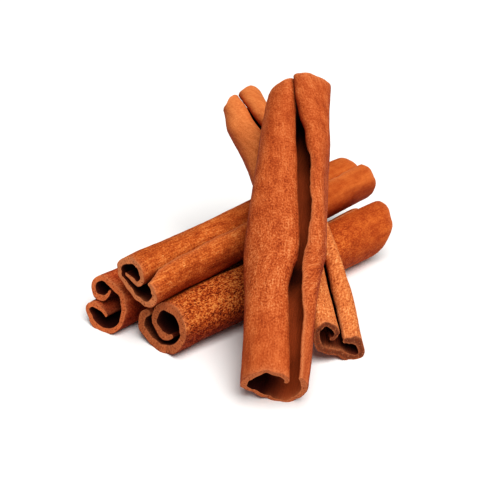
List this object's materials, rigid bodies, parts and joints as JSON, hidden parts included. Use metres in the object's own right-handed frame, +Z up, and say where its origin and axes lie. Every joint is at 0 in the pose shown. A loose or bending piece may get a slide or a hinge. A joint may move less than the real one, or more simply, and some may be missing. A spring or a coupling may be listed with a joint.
{
  "type": "stack of cinnamon sticks",
  "caption": "Loose stack of dried cinnamon sticks: rolled strips of bark with open scroll ends, some lying on the ground and some leaning across them, to be used as a spice or a garnish.",
  "frame": {"origin": "middle of the stack's outline seen from above, on the plane the sticks rest on", "axes": "+Z up; +Y away from the low ends of the two leaning sticks, along the stack's longest side; +X to the right of +Y seen from above, towards the far ends of the ground sticks"},
  "size_m": [0.0824, 0.093, 0.0586],
  "materials": {
    "bark_ground_front": "dry matt cassia bark, orange brown with dark flecks and short fibres, darker inside the roll, tan broken ends",
    "bark_ground_back": "dry matt cassia bark, smoother and redder, dark inside the roll, tan broken ends",
    "bark_in_valley": "dry matt cassia bark, orange brown with fine lengthwise streaks, tan broken ends",
    "bark_leaning_back": "dry matt cassia bark, the palest orange of the stack, pinkish brown broken ends",
    "bark_leaning_front": "dry matt cassia bark, red brown with paler worn patches, dark inside the roll"
  },
  "bodies": {
    "root": {"stick_ground_front": "bark_ground_front", "stick_ground_back": "bark_ground_back", "stick_in_valley": "bark_in_valley", "stick_leaning_back": "bark_leaning_back", "stick_leaning_front": "bark_leaning_front"}
  },
  "joints": []
}
